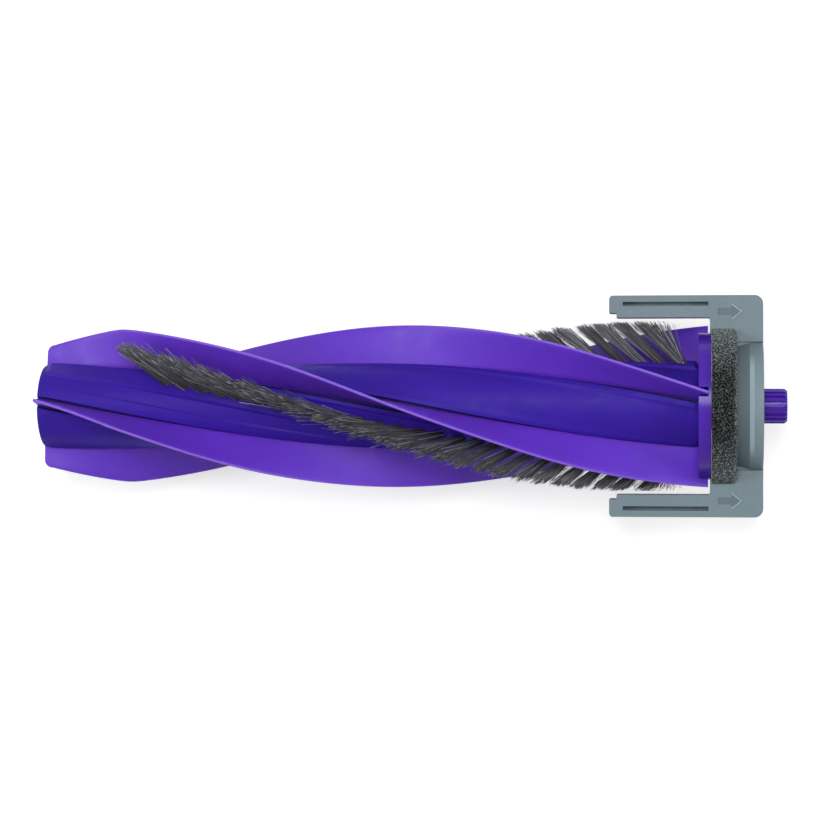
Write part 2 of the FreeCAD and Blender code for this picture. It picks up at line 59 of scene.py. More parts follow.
Colour = Tuple[float, float, float]
Point = Tuple[float, float, float]
Level = Callable[[float], float]
Stops = Tuple[Tuple[float, float], ...]


class Body(Enum):
    """The two bodies that pieces ride on."""

    FRAME = "frame"
    BRUSH = "brush"


class Slot(Enum):
    """The record's material slots."""

    VIOLET_PLASTIC = "violet_plastic"
    VIOLET_RUBBER = "violet_rubber"
    BRISTLE_NYLON = "bristle_nylon"
    BUSH_POLYMER = "bush_polymer"
    CLIP_STEEL = "clip_steel"
    GREY_PLASTIC = "grey_plastic"
    GREY_FOAM = "grey_foam"


class Tree:
    """Node tree that takes nodes with their inputs set or linked in one go."""

    def __init__(self, group: NodeTree) -> None:
        """Wraps a tree of nodes."""
        self.nodes, self.links = group.nodes, group.links

    def feed(self, node: Node, inputs: Dict[Any, Any]) -> None:
        """Sets or links the inputs of a node.

        Args:
            node: The node.
            inputs: Values, colours, fields or output sockets, by the name or number of the input.
        """
        for key, value in inputs.items():
            socket = node.inputs[key]
            if isinstance(value, Field):
                value = value.socket
            if isinstance(value, NodeSocket):
                self.links.new(value, socket)
            else:
                socket.default_value = (*value, 1.0) if socket.type == "RGBA" else value

    def add(self, kind: str, inputs: Dict[Any, Any], **settings: Any) -> Node:
        """Adds a node.

        Args:
            kind: Its type.
            inputs: Its inputs, as for feed.
            settings: Its own properties.

        Returns:
            The node.
        """
        node = self.nodes.new(kind)
        for name, value in settings.items():
            setattr(node, name, value)
        self.feed(node, inputs)
        return node

    def out(self, kind: str, inputs: Dict[Any, Any], **settings: Any) -> NodeSocket:
        """Adds a node and returns its first output."""
        return self.add(kind, inputs, **settings).outputs[0]


class ShaderTree(Tree):
    """Node tree of one material, built round its Principled shader."""

    def __init__(self, name: str) -> None:
        """Makes a plain material.

        Args:
            name: Name of the material.
        """
        self.material = bpy.data.materials.new(name)
        self.material.use_nodes = True
        super().__init__(self.material.node_tree)

    def dress(self, inputs: Dict[str, Any]) -> None:
        """Sets or links the inputs of the Principled shader."""
        self.feed(self.nodes["Principled BSDF"], inputs)

    def place(self) -> NodeSocket:
        """Object coordinates, in metres."""
        return self.add("ShaderNodeTexCoord", {}).outputs["Object"]

    def attribute(self, name: str) -> NodeSocket:
        """Number of a mesh attribute."""
        return self.add("ShaderNodeAttribute", {}, attribute_name=name).outputs["Fac"]

    def noise(self, waves: float, detail: float = 2.0) -> NodeSocket:
        """Soft noise about 0.5, with so many waves to a metre."""
        inputs = {"Vector": self.place(), "Scale": waves, "Detail": detail, "Roughness": 0.55}
        return self.out("ShaderNodeTexNoise", inputs)

    def span(self, value: NodeSocket, low: float, high: float) -> NodeSocket:
        """Maps 0.25 to 0.75 of a noise onto low to high."""
        inputs = {"Value": value, "From Min": 0.25, "From Max": 0.75, "To Min": low, "To Max": high}
        return self.out("ShaderNodeMapRange", inputs)

    def ramp(self, value: NodeSocket, stops: Sequence[Tuple[float, Colour]]) -> NodeSocket:
        """Colour ramp.

        Args:
            value: What drives the ramp.
            stops: Places from 0 to 1 and their colours, in order.

        Returns:
            The ramp's colour.
        """
        node = self.add("ShaderNodeValToRGB", {"Fac": value})
        elements = node.color_ramp.elements
        while len(elements) < len(stops):
            elements.new(1.0)
        for element, (position, colour) in zip(elements, stops):
            element.position = position
            element.color = (*colour, 1.0)
        return node.outputs["Color"]

    def fade(self, value: NodeSocket, stops: Stops) -> NodeSocket:
        """Ramp of grey levels from 0 to 1, by their places."""
        return self.ramp(value, [(place, (level, level, level)) for place, level in stops])

    def blend(self, share: NodeSocket, low: Any, high: Any) -> NodeSocket:
        """Mix of two colours or colour sockets by a share from 0 to 1."""
        return self.add("ShaderNodeMix", {0: share, 6: low, 7: high}, data_type="RGBA").outputs[2]

    def drift(self, colour: Colour, waves: float, low: float, high: float, detail: float = 3.0) -> NodeSocket:
        """Colour that drifts between two of its shades, with so many waves to a metre."""
        return self.blend(self.noise(waves, detail), scaled(colour, low), scaled(colour, high))

    def bump(self, height: NodeSocket, strength: float, depth: float = 0.2 * MM) -> None:
        """Gives the shader a relief of that height field."""
        inputs = {"Height": height, "Strength": strength, "Distance": depth}
        self.dress({"Normal": self.out("ShaderNodeBump", inputs)})


class Finish:
    """Base of the finishes: one material, made once."""

    name: str

    def material(self) -> Material:
        """Makes the material, or finds it.

        Returns:
            The material.
        """
        known = bpy.data.materials.get(self.name)
        if known:
            return known
        tree = ShaderTree(self.name)
        self.dress(tree)
        return tree.material

    def dress(self, tree: ShaderTree) -> None:
        """Fills the material's tree."""
        raise NotImplementedError


def scaled(colour: Colour, factor: float) -> Colour:
    """A colour made darker or lighter."""
    return tuple(min(1.0, part * factor) for part in colour)


@dataclass(frozen=True)
class SatinRubber(Finish):
    """Soft rubber with a bloom, paler at the thin lip as a painted highlight."""

    name: str = "satin_violet_rubber"
    colour: Colour = (0.120, 0.030, 0.535)
    # The lip colour is a painted highlight along the blades' edges.
    lip: Colour = (0.300, 0.165, 0.720)
    lip_highlight_fade: Stops = ((0.95, 0.0), (0.98, 0.25), (1.0, 0.6))
    roughness: Tuple[float, float] = (0.40, 0.52)
    drift_waves: float = 45.0
    bloom_waves: float = 160.0
    grain_waves: float = 900.0

    def dress(self, tree: ShaderTree) -> None:
        """Rubber whose colour follows the height up the blade, paler at the lip as a painted highlight.

        Args:
            tree: The material's tree.
        """
        body = tree.drift(self.colour, self.drift_waves, 0.86, 1.16)
        tree.dress({
            # Near the top of the blade the colour turns to the lip's: a painted highlight.
            "Base Color": tree.blend(tree.fade(tree.attribute("rise"), self.lip_highlight_fade), body, self.lip),
            "Roughness": tree.span(tree.noise(self.bloom_waves), *self.roughness),
            "Subsurface Weight": 0.45,
            "Subsurface Radius": (1.0, 0.35, 1.0),
            "Subsurface Scale": 1.6 * MM,
            "Specular IOR Level": 0.36,
        })
        tree.bump(tree.noise(self.grain_waves, 3.0), 0.12)


@dataclass(frozen=True)
class GlossPlastic(Finish):
    """Half-gloss moulded plastic with a slow drift of colour, and painted shade where the mesh marks creases."""

    name: str = "half_gloss_violet_plastic"
    colour: Colour = (0.034, 0.010, 0.290)
    roughness: Tuple[float, float] = (0.44, 0.58)
    specular: float = 0.13
    # Colour factor of the painted shade in the creases.
    crease_shade: float = 0.22
    drift_waves: float = 60.0
    polish_waves: float = 240.0
    grain_waves: float = 1400.0

    def dress(self, tree: ShaderTree) -> None:
        """Plastic with a fine polish texture.

        Args:
            tree: The material's tree.
        """
        drift = tree.drift(self.colour, self.drift_waves, 0.85, 1.18)
        tree.dress({
            # Marked creases are darkened: painted shade along the blades' feet.
            "Base Color": tree.blend(tree.attribute("crease_shade"), drift, scaled(self.colour, self.crease_shade)),
            "Roughness": tree.span(tree.noise(self.polish_waves), *self.roughness),
            "Specular IOR Level": self.specular,
        })
        tree.bump(tree.noise(self.grain_waves), 0.06)


@dataclass(frozen=True)
class TexturedPlastic(Finish):
    """Matte moulded plastic with a fine eroded texture, darker where painted shade is marked and lighter where a
    painted highlight is marked.
    """

    name: str = "eroded_grey_plastic"
    colour: Colour = (0.142, 0.194, 0.220)
    # Colour factor of the painted shade.
    painted_shade: float = 0.74
    # Colour factor of the painted highlight.
    highlight_factor: float = 1.9
    speck: float = 1.3
    speck_share: float = 0.35
    roughness: Tuple[float, float] = (0.42, 0.58)
    drift_waves: float = 55.0
    wear_waves: float = 400.0
    grain_waves: float = 3200.0

    def dress(self, tree: ShaderTree) -> None:
        """Plastic with a pebbled relief and a slight drift of grey.

        Args:
            tree: The material's tree.
        """
        grain = tree.noise(self.grain_waves)
        drift = tree.drift(self.colour, self.drift_waves, 0.9, 1.1)
        skin = tree.blend(tree.span(grain, 0.0, self.speck_share), drift, scaled(self.colour, self.speck))
        # Marked faces are darkened: painted shade on the arrows and in the cap's dish.
        painted_shade = tree.blend(tree.attribute("painted_shade"), skin, scaled(self.colour, self.painted_shade))
        tree.dress({
            # Marked faces are lightened: a painted highlight on the arrow rims and on the cap's bevel and nose.
            "Base Color": tree.blend(tree.attribute("painted_highlight"), painted_shade, scaled(self.colour, self.highlight_factor)),
            "Roughness": tree.span(tree.noise(self.wear_waves), *self.roughness),
            "Specular IOR Level": 0.3,
        })
        tree.bump(grain, 0.2)


@dataclass(frozen=True)
class FilamentNylon(Finish):
    """Dark nylon filaments, darker at the root as painted shade, with a few pale ones among them at random,
    partly their own tone and partly painted glints.
    """

    name: str = "graded_nylon_filament"
    # The dark root colour is painted shade among the packed roots.
    root_shade: Colour = (0.022, 0.022, 0.025)
    middle: Colour = (0.086, 0.085, 0.104)
    tip: Colour = (0.100, 0.100, 0.116)
    # Pale colour of a few filaments: partly their own tone, partly painted glints.
    pale_glint: Colour = (0.600, 0.605, 0.630)
    middle_place: float = 0.55
    pale_glint_fade: Stops = ((0.0, 0.0), (0.70, 0.02), (0.84, 0.3), (1.0, 0.9))
    roughness: Tuple[float, float] = (0.3, 0.45)

    def dress(self, tree: ShaderTree) -> None:
        """Nylon graded from root to tip with painted shade at the root, each filament its own random tone.

        Args:
            tree: The material's tree.
        """
        stops = ((0.0, self.root_shade), (self.middle_place, self.middle), (1.0, self.tip))
        # A few filaments at random are made pale: partly their own tone, partly painted glints.
        share = tree.fade(tree.attribute("shade"), self.pale_glint_fade)
        tree.dress({
            "Base Color": tree.blend(share, tree.ramp(tree.attribute("along"), stops), self.pale_glint),
            "Roughness": tree.span(tree.attribute("shade"), *self.roughness),
            "Specular IOR Level": 0.5,
        })


@dataclass(frozen=True)
class OpenCellFoam(Finish):
    """Open-cell foam: struts round near-black cells, whose black is painted shade in the pores, and paler on the
    flanks and the far rim as painted sheen.
    """

    name: str = "open_cell_grey_foam"
    # The near-black cell colour is painted shade in the pores.
    cell: Colour = (0.001, 0.001, 0.001)
    strut: Colour = (0.120, 0.140, 0.142)
    # Paler cell and strut colours for the flanks: painted sheen.
    painted_sheen_cell: Colour = (0.046, 0.054, 0.056)
    painted_sheen_strut: Colour = (0.460, 0.510, 0.515)
    sheen: Colour = (0.6, 0.64, 0.6)
    cells: float = 1000.0
    cell_depth: float = 0.6 * MM
    strut_fade: Stops = ((0.0, 1.0), (0.12, 0.3), (0.26, 0.0))
    speckle_waves: float = 1700.0
    speckle_fade: Stops = ((0.42, 0.0), (0.62, 1.0))
    roughness: Tuple[float, float] = (0.8, 0.95)
    nap_waves: float = 700.0

    def dress(self, tree: ShaderTree) -> None:
        """Foam whose colour and relief come from one net of cells.

        Args:
            tree: The material's tree.
        """
        cells = {"Vector": tree.place(), "Scale": self.cells, "Randomness": 1.0}
        edge = tree.out("ShaderNodeTexVoronoi", cells, feature="DISTANCE_TO_EDGE")
        flank = tree.attribute("flank")
        # Flanks and the far rim are paler: painted sheen.
        cell = tree.blend(flank, self.cell, self.painted_sheen_cell)
        strut = tree.blend(flank, self.strut, self.painted_sheen_strut)
        speckle = tree.fade(tree.noise(self.speckle_waves, 1.0), self.speckle_fade)
        tree.dress({
            "Base Color": tree.blend(tree.fade(edge, self.strut_fade), cell, tree.blend(speckle, cell, strut)),
            "Roughness": tree.span(tree.noise(self.nap_waves), *self.roughness),
            "Specular IOR Level": 0.1,
            "Sheen Weight": 0.15,
            "Sheen Roughness": 0.5,
            "Sheen Tint": self.sheen,
        })
        tree.bump(edge, 0.8, -self.cell_depth)


@dataclass(frozen=True)
class BearingPolymer(Finish):
    """Natural bearing polymer, faintly waxy."""

    name: str = "waxy_bearing_polymer"
    colour: Colour = (0.70, 0.69, 0.64)
    roughness: Tuple[float, float] = (0.4, 0.55)
    mottle_waves: float = 300.0
    wax_waves: float = 500.0
    grain_waves: float = 1800.0

    def dress(self, tree: ShaderTree) -> None:
        """Polymer with a slight mottle.

        Args:
            tree: The material's tree.
        """
        tree.dress({
            "Base Color": tree.drift(self.colour, self.mottle_waves, 0.93, 1.05, 2.0),
            "Roughness": tree.span(tree.noise(self.wax_waves), *self.roughness),
        })
        tree.bump(tree.noise(self.grain_waves), 0.1)


@dataclass(frozen=True)
class SpringSteel(Finish):
    """Stamped spring steel."""

    name: str = "rolled_spring_steel"
    colour: Colour = (0.56, 0.57, 0.58)
    roughness: Tuple[float, float] = (0.25, 0.4)
    drift_waves: float = 800.0
    rolling_waves: float = 1200.0

    def dress(self, tree: ShaderTree) -> None:
        """Steel with rolling marks in its roughness.

        Args:
            tree: The material's tree.
        """
        tree.dress({
            "Base Color": tree.drift(self.colour, self.drift_waves, 0.9, 1.1, 2.0),
            "Metallic": 1.0,
            "Roughness": tree.span(tree.noise(self.rolling_waves), *self.roughness),
        })


def add_object(name: str, data: ID) -> Object:
    """Puts a mesh, a lamp or a camera into the scene.

    Args:
        name: Name of the object.
        data: What the object holds.

    Returns:
        The object.
    """
    piece = bpy.data.objects.new(name, data)
    bpy.context.scene.collection.objects.link(piece)
    return piece


def evaluated_mesh(holder: Object) -> Mesh:
    """Plain mesh of an object with its modifiers. The object is then removed.

    Args:
        holder: The object.

    Returns:
        The mesh.
    """
    graph = bpy.context.evaluated_depsgraph_get()
    mesh = bpy.data.meshes.new_from_object(holder.evaluated_get(graph))
    bpy.data.objects.remove(holder)
    return mesh


def shade(mesh: Mesh, angle: float) -> None:
    """Smooth shading, with edges over that angle kept sharp."""
    mesh.shade_smooth()
    mesh.set_sharp_from_angle(angle=math.radians(angle))


def loft(name: str, rings: np.ndarray, marks: Dict[str, np.ndarray]) -> Mesh:
    """Closed skin over a row of rings, each end closed by one face.

    Args:
        name: Name of the mesh.
        rings: Points, as rings x points x 3.
        marks: Numbers for the points, by the name of their attribute.

    Returns:
        The mesh.
    """
    count, around, _ = rings.shape
    faces: List[Tuple[int, ...]] = []
    for i in range(count - 1):
        for j in range(around):
            k = (j + 1) % around
            faces.append((i * around + j, i * around + k, (i + 1) * around + k, (i + 1) * around + j))
    faces.append(tuple(range(around)))
    faces.append(tuple(range((count - 1) * around, count * around)))
    mesh = bpy.data.meshes.new(name)
    mesh.from_pydata(rings.reshape(-1, 3).tolist(), [], faces)
    for key, values in marks.items():
        mesh.attributes.new(key, "FLOAT", "POINT").data.foreach_set("value", values.ravel().astype(np.float32))
    work = bmesh.new()
    work.from_mesh(mesh)
    bmesh.ops.recalc_face_normals(work, faces=work.faces)
    work.to_mesh(mesh)
    work.free()
    return mesh


def settle(piece: Object, body: Body, slot: Slot, finish: Finish, *nodes: str) -> None:
    """Gives a piece its finish, its body and the nodes that it stands for.

    Args:
        piece: The piece, in place.
        body: The body that it rides on.
        slot: Not used.
        finish: Its finish.
        nodes: The nodes that it replaces.
    """
    piece.data.materials.clear()
    piece.data.materials.append(finish.material())
    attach(piece, body.value)
    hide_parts(*nodes)
    LOG.info("%s: %d faces on %s", piece.name, len(piece.data.polygons), body.value)


@dataclass(frozen=True)
class Rounding:
    """Edge round of a moulded piece, and the angle from which an edge gets it."""

    width: float
    segments: int = 2
    angle: float = 35.0


class Change(Enum):
    """What a tool solid does to a moulded piece."""

    CUT = "DIFFERENCE"
    ADD = "UNION"


Tool = Tuple[Change, Object]


def prism(outline: Sequence[Tuple[float, float]], floor: Level, roof: Level) -> Object:
    """Upright solid that is cut out of a piece or added to it.

    Args:
        outline: Its corners from above.
        floor: Its lower level, by the place along the axis.
        roof: Its upper level, by the place along the axis.

    Returns:
        The tool solid.
    """
    work = bmesh.new()
    for level in (floor, roof):
        for x, y in outline:
            work.verts.new((x, y, level(x)))
    work.verts.ensure_lookup_table()
    count = len(outline)
    work.faces.new(work.verts[:count])
    work.faces.new(work.verts[count:])
    for i in range(count):
        j = (i + 1) % count
        work.faces.new([work.verts[k] for k in (i, j, j + count, i + count)])
    bmesh.ops.recalc_face_normals(work, faces=work.faces)
    mesh = bpy.data.meshes.new("tool_solid")
    work.to_mesh(mesh)
    work.free()
    return add_object("tool_solid", mesh)


def moulded_copy(node: str, name: str, rounding: Rounding, tools: Sequence[Tool] = ()) -> Object:
    """Copy of a node with merged faces and rounded edges.

    Args:
        node: The node to copy.
        name: Name of the copy.
        rounding: Size of its edge round.
        tools: Solids that are cut out of the copy or added to it in order, and then removed.

    Returns:
        The copy.
    """
    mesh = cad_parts[node].data.copy()
    work = bmesh.new()
    work.from_mesh(mesh)
    bmesh.ops.remove_doubles(work, verts=work.verts, dist=MERGE_DISTANCE)
    flat = math.radians(FLAT_ANGLE)
    bmesh.ops.dissolve_limit(work, angle_limit=flat, verts=work.verts, edges=work.edges)
    work.to_mesh(mesh)
    work.free()
    holder = add_object(f"{name}_blank", mesh)
    bevel = holder.modifiers.new("edge_round", "BEVEL")
    bevel.width = rounding.width
    bevel.segments = rounding.segments
    bevel.limit_method = "ANGLE"
    bevel.angle_limit = math.radians(rounding.angle)
    bevel.use_clamp_overlap = True
    for change, tool in tools:
        step = holder.modifiers.new("tool_step", "BOOLEAN")
        step.object = tool
        step.operation = change.value
        step.solver = "EXACT"
    plain = evaluated_mesh(holder)
    for _, tool in tools:
        bpy.data.objects.remove(tool)
    shade(plain, SHARP_ANGLE)
    weighed = add_object(f"{name}_weighed", plain)
    weighed.modifiers.new("face_weights", "WEIGHTED_NORMAL").keep_sharp = True
    finished = evaluated_mesh(weighed)
    finished.name = name
    return add_object(name, finished)


def moulded_piece(node: str, form: str, rounding: Rounding, body: Body, slot: Slot, finish: Finish) -> None:
    """Rounded copy of a node, named by the node and its form, dressed and put on its body."""
    settle(moulded_copy(node, f"{node}_{form}", rounding), body, slot, finish, node)


Operand = Union["Field", float]


class Field:
    """A number of a geometry tree, with plain arithmetic."""

    def __init__(self, tree: "GeometryTree", socket: NodeSocket) -> None:
        """Wraps an output socket of a tree."""
        self.tree = tree
        self.socket = socket

    def work(self, operation: str, *others: Operand) -> "Field":
        """Result of a math node on this number and others."""
        return self.tree.math(operation, self, *others)

    __add__ = partialmethod(work, "ADD")
    __sub__ = partialmethod(work, "SUBTRACT")
    __mul__ = partialmethod(work, "MULTIPLY")
    __truediv__ = partialmethod(work, "DIVIDE")
    __mod__ = partialmethod(work, "MODULO")
    __pow__ = partialmethod(work, "POWER")
    floor = partialmethod(work, "FLOOR")
    sine = partialmethod(work, "SINE")
    cosine = partialmethod(work, "COSINE")


class GeometryTree(Tree):
    """Geometry node tree with named inputs."""

    def __init__(self, name: str) -> None:
        """Makes a tree with nothing but its two ends.

        Args:
            name: Name of the tree.
        """
        self.group = bpy.data.node_groups.new(name, "GeometryNodeTree")
        super().__init__(self.group)
        self.group.interface.new_socket("Geometry", in_out="OUTPUT", socket_type="NodeSocketGeometry")
        self.entry = self.nodes.new("NodeGroupInput")
        self.exit = self.nodes.new("NodeGroupOutput")
        self.values: Dict[str, Any] = {}

    def size(self, name: str, value: Any, kind: str = "NodeSocketFloat") -> Field:
        """Named input of the tree.

        Args:
            name: Name of the input.
            value: Its value on the modifier.
            kind: Its socket type.

        Returns:
            The input as a field.
        """
        self.group.interface.new_socket(name, in_out="INPUT", socket_type=kind)
        self.values[name] = value
        return Field(self, self.entry.outputs[name])

    def math(self, operation: str, *operands: Operand) -> Field:
        """Result of a math node on one or two numbers."""
        return Field(self, self.out("ShaderNodeMath", dict(enumerate(operands)), operation=operation))

    def chance(self, key: Field, seed: int) -> Field:
        """Random number from 0 to 1 that is the same for equal keys."""
        node = self.add("FunctionNodeRandomValue", {"ID": key, "Seed": seed}, data_type="FLOAT")
        return Field(self, node.outputs[1])

    def mark(self, geometry: NodeSocket, name: str, value: Field) -> NodeSocket:
        """Keeps a number of each point as a named attribute."""
        inputs = {"Geometry": geometry, "Name": name, "Value": value}
        return self.out("GeometryNodeStoreNamedAttribute", inputs, data_type="FLOAT", domain="POINT")

    def close(self, geometry: NodeSocket, finish: Finish) -> None:
        """Realizes the geometry, gives it its finish and leads it out of the tree.

        Args:
            geometry: What the tree made.
            finish: Its finish.
        """
        whole = self.out("GeometryNodeRealizeInstances", {"Geometry": geometry})
        dressed = self.out("GeometryNodeSetMaterial", {"Geometry": whole, "Material": finish.material()})
        self.links.new(dressed, self.exit.inputs[0])

    def grow(self, name: str) -> Object:
        """Runs the tree and keeps its result as a plain mesh.

        Args:
            name: Name of the finished object.

        Returns:
            The object.
        """
        holder = add_object(f"{name}_tree", bpy.data.meshes.new(f"{name}_seed"))
        modifier = holder.modifiers.new("tree", "NODES")
        modifier.node_group = self.group
        for item in self.group.interface.items_tree:
            if item.in_out == "INPUT":
                modifier[item.identifier] = self.values[item.name]
        mesh = evaluated_mesh(holder)
        mesh.name = name
        return add_object(name, mesh)


@dataclass(frozen=True)
class Helix:
    """The twist that blades, lands and bristle rows share, from the first blade's angle at the free end."""

    lead: float = 507.0 * MM
    phase: float = -6.2

    def points(self, station: np.ndarray, height: np.ndarray, side: np.ndarray, offset: float) -> np.ndarray:
        """Points of a section that turns with the helix.

        Args:
            station: Places along the axis.
            height: Heights from the axis, in the section.
            side: Sideways places in the section.
            offset: Angle from the first blade, in degrees.

        Returns:
            The points, with x, y and z last.
        """
        angle = math.radians(self.phase + offset) + 2.0 * math.pi * station / self.lead
        y = height * np.cos(angle) - side * np.sin(angle)
        z = height * np.sin(angle) + side * np.cos(angle)
        return np.stack((station + 0.0 * y, y, z), axis=-1)


@dataclass
class BrushCore:
    """Moulded core with a land under each tuft row, a shoulder along each blade and a crease at its foot,
    darkened there as painted shade.

    A sector table gives the radius, in millimetres, by the angle behind the blade at which the sector starts.
    """

    helix: Helix
    finish: Finish
    length: float = 244.8 * MM
    radius: float = 15.5 * MM
    bore: float = 5.5 * MM
    bore_depth: float = 11.0 * MM
    bore_edge: float = 0.3 * MM
    edge: float = 0.6 * MM
    edge_steps: Tuple[float, ...] = (0.0, 0.35, 0.7, 1.0)
    land_start: float = 2.0 * MM
    land_end: float = 244.3 * MM
    land_step: float = 0.05 * MM
    start_ease: float = 1.2 * MM
    end_ease: float = 0.6 * MM
    least_ease: float = 0.4
    stations: int = 260
    spacing: float = 3.0
    corner: float = 0.35
    crease_shade_half: float = 7.6
    sharp: float = 28.0
    tuft_sector: Stops = (
        (0.0, 14.7), (7.2, 14.7), (8.0, 15.5), (13.4, 15.5), (16.9, 16.74), (20.0, 16.55), (25.0, 16.36),
        (30.0, 16.3), (35.0, 16.36), (40.0, 16.55), (43.1, 16.74), (46.6, 15.5), (64.2, 15.5), (65.6, 16.02),
        (74.0, 16.06), (81.4, 16.0), (82.0, 15.85), (82.8, 14.7), (90.0, 14.7),
    )
    plain_sector: Stops = (
        (0.0, 14.7), (7.2, 14.7), (8.0, 15.85), (8.8, 15.98), (15.6, 15.95), (18.4, 15.58), (22.0, 15.5),
        (67.0, 15.5), (72.0, 15.66), (76.0, 15.9), (81.4, 15.98), (82.0, 15.85), (82.8, 14.7), (90.0, 14.7),
    )

    def angles(self) -> np.ndarray:
        """Picks the section's points, with close pairs at the tables' corners.

        Returns:
            Their angles, in degrees.
        """
        picks = set(np.arange(0.0, 360.0, self.spacing))
        for start, table in ((0.0, self.tuft_sector), (90.0, self.plain_sector)):
            for angle, _ in table:
                for turn in (0.0, 180.0):
                    middle = start + turn + angle
                    picks.update((middle + step) % 360.0 for step in (-self.corner, self.corner))
        return np.array(sorted(picks))

    def section(self, angles: np.ndarray, raised: float) -> np.ndarray:
        """Radius of the core at angles from the first blade.

        Args:
            angles: The angles, in degrees.
            raised: Share of the lands' and shoulders' height, from 0 to 1.

        Returns:
            The radii.
        """
        half_turn = angles % 180.0
        tufted = np.interp(half_turn, *zip(*self.tuft_sector))
        plain = np.interp(half_turn - 90.0, *zip(*self.plain_sector))
        full = np.where(half_turn < 90.0, tufted, plain) * MM
        low = np.minimum(full, self.radius)
        return low + raised * (full - low)

    def build(self) -> None:
        """Builds the core from its free end's bore to its drive end."""
        angles = self.angles()
        rows: List[Tuple[float, np.ndarray]] = []
        flat = np.ones_like(angles)
        low = self.section(angles, 0.0)
        mouth = ((self.bore_depth, 0.0), (self.bore_edge, 0.0), (0.0, self.bore_edge))
        for x, flare in mouth:
            rows.append((x, flat * (self.bore + flare)))
        for step in self.edge_steps:
            turn = step * math.pi / 2.0
            rows.append((self.edge * (1.0 - math.cos(turn)), low - self.edge * (1.0 - math.sin(turn))))
        rows.append((self.land_start - self.land_step, low))
        for x in np.linspace(self.land_start, self.land_end, self.stations):
            rising = (x - self.land_start) / self.start_ease + self.least_ease
            falling = (self.land_end - x) / self.end_ease + self.least_ease
            rows.append((float(x), self.section(angles, min(1.0, rising, falling))))
        rows.append((self.land_end + self.land_step, low))
        rows.append((self.length, low))
        rows.append((self.length, flat * self.bore))
        across, up = np.cos(np.radians(angles)), np.sin(np.radians(angles))
        rings = np.empty((len(rows), len(angles), 3))
        for ring, (x, radius) in zip(rings, rows):
            ring[:] = self.helix.points(np.full_like(radius, x), radius * across, radius * up, 0.0)
        # Points near each blade's foot are marked for painted shade in the crease.
        beside = np.abs((angles + 45.0) % 90.0 - 45.0)
        crease_shade = np.zeros(rings.shape[:2])
        crease_shade[len(mouth):-1] = np.where(beside < self.crease_shade_half, 1.0, 0.0)
        mesh = loft("brush_core_body", rings, {"crease_shade": crease_shade})
        shade(mesh, self.sharp)
        piece = add_object("brush_core_body", mesh)
        settle(piece, Body.BRUSH, Slot.VIOLET_PLASTIC, self.finish, "brush_core")


@dataclass
class HelicalBlade:
    """One thin rubber blade with a flared foot, a rounded lip and a sloping nose.

    The flank table gives half the thickness, in millimetres, by the share of the height.
    """

    helix: Helix
    finish: Finish
    number: int
    length: float = 248.2 * MM
    foot: float = 14.7 * MM
    lip: float = 30.1 * MM
    lip_half: float = 0.6 * MM
    lip_points: int = 7
    nose: Stops = ((0.0, 20.6 * MM), (2.6 * MM, 23.2 * MM), (31.0 * MM, 30.1 * MM))
    nose_soft: float = 0.35 * MM
    flank: Stops = (
        (0.0, 1.15), (0.05, 1.14), (0.1, 1.1), (0.15, 1.04), (0.24, 0.94), (0.36, 0.83), (0.5, 0.75),
        (0.67, 0.69), (0.85, 0.64), (1.0, 0.6),
    )
    wave: float = 0.35 * MM
    long_wave: float = 31.0 * MM
    short_wave: float = 12.7 * MM
    short_share: float = 0.6
    wave_shift: float = 1.7
    short_shift: float = 2.3
    near_length: float = 3.0 * MM
    near_stations: int = 14
    stations: int = 320
    sharp: float = 50.0

    def top(self, station: np.ndarray) -> np.ndarray:
        """Lip along the blade: a round corner, a slope, then level.

        Args:
            station: Places along the axis.

        Returns:
            Its heights from the axis.
        """
        (x0, r0), (x1, r1), (x2, r2) = self.nose
        corner = np.clip((station - x0) / (x1 - x0), 0.0, 1.0)
        arc = r0 + (r1 - r0) * np.sqrt(1.0 - (1.0 - corner) ** 2)
        slope = r1 + (r2 - r1) * (station - x1) / (x2 - x1)
        level = -self.nose_soft * np.logaddexp(-slope / self.nose_soft, -self.lip / self.nose_soft)
        return np.where(station < x1, arc, level)

    def sway(self, station: np.ndarray) -> np.ndarray:
        """Slow sideways wave of the lip along the blade.

        Args:
            station: Places along the axis.

        Returns:
            Its sideways places.
        """
        start = self.wave_shift * self.number
        ripple = self.short_share * np.sin(station / self.short_wave + self.short_shift * start)
        return self.wave * (np.sin(station / self.long_wave + start) + ripple)

    def build(self) -> None:
        """Builds the blade along its helix."""
        near = self.near_length * (1.0 - np.cos(np.linspace(0.0, math.pi / 2.0, self.near_stations)))
        station = np.concatenate((near[:-1], np.linspace(near[-1], self.length, self.stations)))
        shares, halves = np.array(self.flank).T * ((1.0,), (MM,))
        top = self.top(station) - self.lip_half
        flank = self.foot + np.outer(top - self.foot, shares)
        bow = np.linspace(math.pi / 2.0, -math.pi / 2.0, self.lip_points)[1:-1]
        crown = top[:, None] + self.lip_half * np.cos(bow)[None, :]
        height = np.concatenate((flank, crown, flank[:, ::-1]), axis=1)
        side = np.concatenate((halves, self.lip_half * np.sin(bow), -halves[::-1]))[None, :]
        rise = np.clip((height - self.foot) / (self.lip - self.foot), 0.0, 1.0)
        # Share of the height up the blade, which places the painted highlight at the lip.
        local = np.clip((height - self.foot) / (top + self.lip_half - self.foot)[:, None], 0.0, 1.0)
        side = side + self.sway(station)[:, None] * rise ** 2
        rings = self.helix.points(station[:, None], height, side, 90.0 * (self.number - 1))
        name = f"blade_{self.number}_rubber"
        mesh = loft(name, rings, {"rise": local})
        shade(mesh, self.sharp)
        piece = add_object(name, mesh)
        settle(piece, Body.BRUSH, Slot.VIOLET_RUBBER, self.finish, f"blade_{self.number}")


